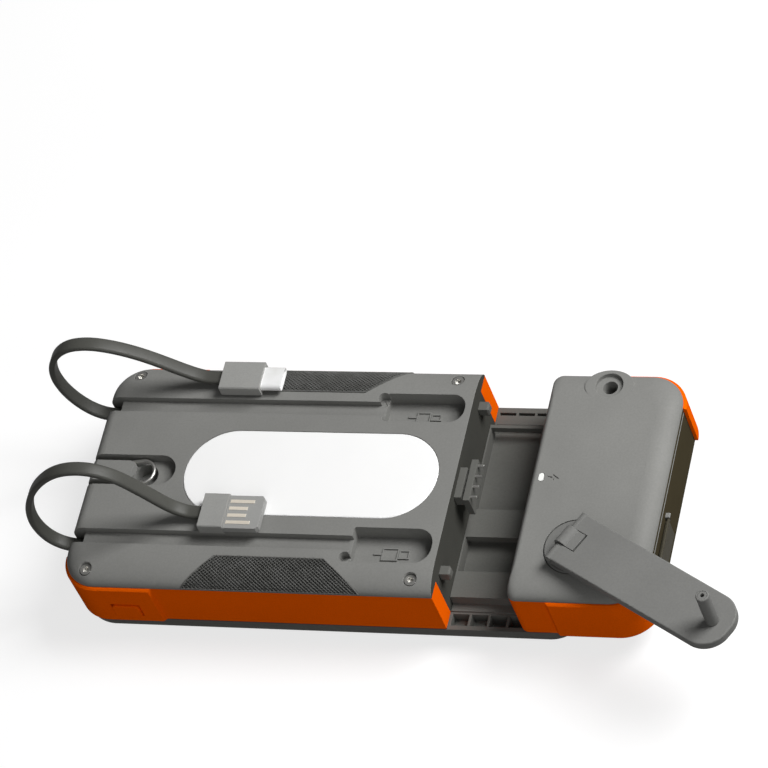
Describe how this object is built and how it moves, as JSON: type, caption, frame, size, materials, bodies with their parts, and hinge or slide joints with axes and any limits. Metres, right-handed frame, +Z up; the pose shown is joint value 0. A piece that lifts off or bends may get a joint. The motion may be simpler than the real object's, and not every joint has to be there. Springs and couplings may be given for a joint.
{
  "type": "hand crank phone charger",
  "caption": "Rugged power bank with a solar underside, area lamp, two stowed flat leads and a slide-out generator module with a folding hand crank.",
  "frame": {"origin": "centre of the rest plane, under the middle of the tray, on the plane of the bezel that the charger lies on with its solar panel down", "axes": "+X along the body towards the crank end, +Y towards the small plug's side, +Z up towards the lamp side"},
  "size_m": [0.2359, 0.101, 0.0627],
  "materials": {
    "cover_grey": "fine spark-eroded matt",
    "tray_grey": "fine spark-eroded matt",
    "port_dark": "fine matt",
    "orange": "soft-touch satin",
    "grip": "knurled",
    "lamp_white": "opal, smooth",
    "solar_glass": "smooth laminate",
    "solar_cell": "dark cell with pale lines",
    "board": "solder mask",
    "led": "phosphor",
    "battery": "foil pouch",
    "switch_black": "moulded",
    "steel": "machined",
    "contact_gold": "pale plated",
    "lead_grey": "matt flat cable",
    "plug_grey": "moulded, satin",
    "tongue_grey": "moulded, satin",
    "shell_metal": "drawn shell",
    "arm_grey": "fine matt",
    "gear_white": "moulded nylon",
    "generator_metal": "turned",
    "magnet_dark": "ground",
    "indicator": "light pipe"
  },
  "bodies": {
    "main_unit": {"tray_frame": "tray_grey", "solar_panel": "solar_glass", "solar_cells": "solar_cell", "main_back_cover": "cover_grey", "main_bumper_near": "orange", "main_bumper_far": "orange", "grip_pad_near": "grip", "grip_pad_far": "grip", "lamp_diffuser": "lamp_white", "lamp_led_board": "board", "lamp_leds": "led", "battery_cell_near": "battery", "battery_cell_far": "battery", "main_circuit_board": "board", "tact_switch": "switch_black", "switch_board": "board", "cover_screws": "steel", "lanyard_eyelet": "steel", "strain_relief_usb": "switch_black", "strain_relief_small": "switch_black", "usb_lead": "lead_grey", "usb_plug_body": "plug_grey", "usb_plug_tongue": "tongue_grey", "usb_plug_contacts": "contact_gold", "small_lead": "lead_grey", "small_plug_body": "plug_grey", "small_plug_shell": "shell_metal", "dock_housing": "tray_grey", "dock_pins": "steel", "locating_pegs": "tray_grey"},
    "power_button": {"power_button": "orange"},
    "crank_module": {"crank_cover": "cover_grey", "crank_base": "tray_grey", "crank_bumper_near": "orange", "crank_bumper_far": "orange", "generator_can": "generator_metal", "crank_circuit_board": "board", "dock_contacts": "contact_gold", "gear_axles": "steel", "module_screws": "steel", "indicator_light": "indicator", "port_connector": "shell_metal"},
    "port_flap": {"port_flap": "port_dark"},
    "hub": {"crank_hub": "arm_grey", "main_gear": "gear_white", "hinge_pin": "steel"},
    "arm": {"crank_arm": "arm_grey", "knob_axle": "arm_grey"},
    "knob": {"crank_knob": "arm_grey"},
    "idler": {"idler_gear": "gear_white"},
    "rotor": {"rotor": "magnet_dark"}
  },
  "joints": [
    {"name": "module_slide", "type": "slide", "parent": "main_unit", "child": "crank_module", "axis": [1, 0, 0], "range_m": [-0.0232, 0]},
    {"name": "power_button_press", "type": "slide", "parent": "main_unit", "child": "power_button", "axis": [0, 1, 0], "range_m": [0, 0.0006], "stiffness_N_per_m": 1500, "springref_m": -0.0003},
    {"name": "port_flap_hinge", "type": "hinge", "parent": "crank_module", "child": "port_flap", "pos_m": [0.1069, -0.014, 0.0204], "axis": [0, -1, 0], "range_deg": [0, 100]},
    {"name": "hub_spin", "type": "hinge", "parent": "crank_module", "child": "hub", "pos_m": [0.0827, -0.0237, 0.03], "axis": [0, 0, 1], "continuous": true},
    {"name": "arm_fold", "type": "hinge", "parent": "hub", "child": "arm", "pos_m": [0.08139, -0.02297, 0.0332], "axis": [-0.4879, -0.8729, 0], "range_deg": [0, 166]},
    {"name": "knob_spin", "type": "hinge", "parent": "arm", "child": "knob", "pos_m": [0.13141, -0.05092, 0.0332], "axis": [0, 0, 1], "continuous": true},
    {"name": "idler_spin", "type": "hinge", "parent": "crank_module", "child": "idler", "pos_m": [0.0893, -0.01314, 0.023], "axis": [0, 0, 1], "continuous": true},
    {"name": "rotor_spin", "type": "hinge", "parent": "crank_module", "child": "rotor", "pos_m": [0.08545, -0.0013, 0.02], "axis": [0, 0, 1], "continuous": true}
  ],
  "couplings": [
    {"joint": "idler_spin", "follows": "hub_spin", "ratio": -3},
    {"joint": "rotor_spin", "follows": "hub_spin", "ratio": 9}
  ]
}
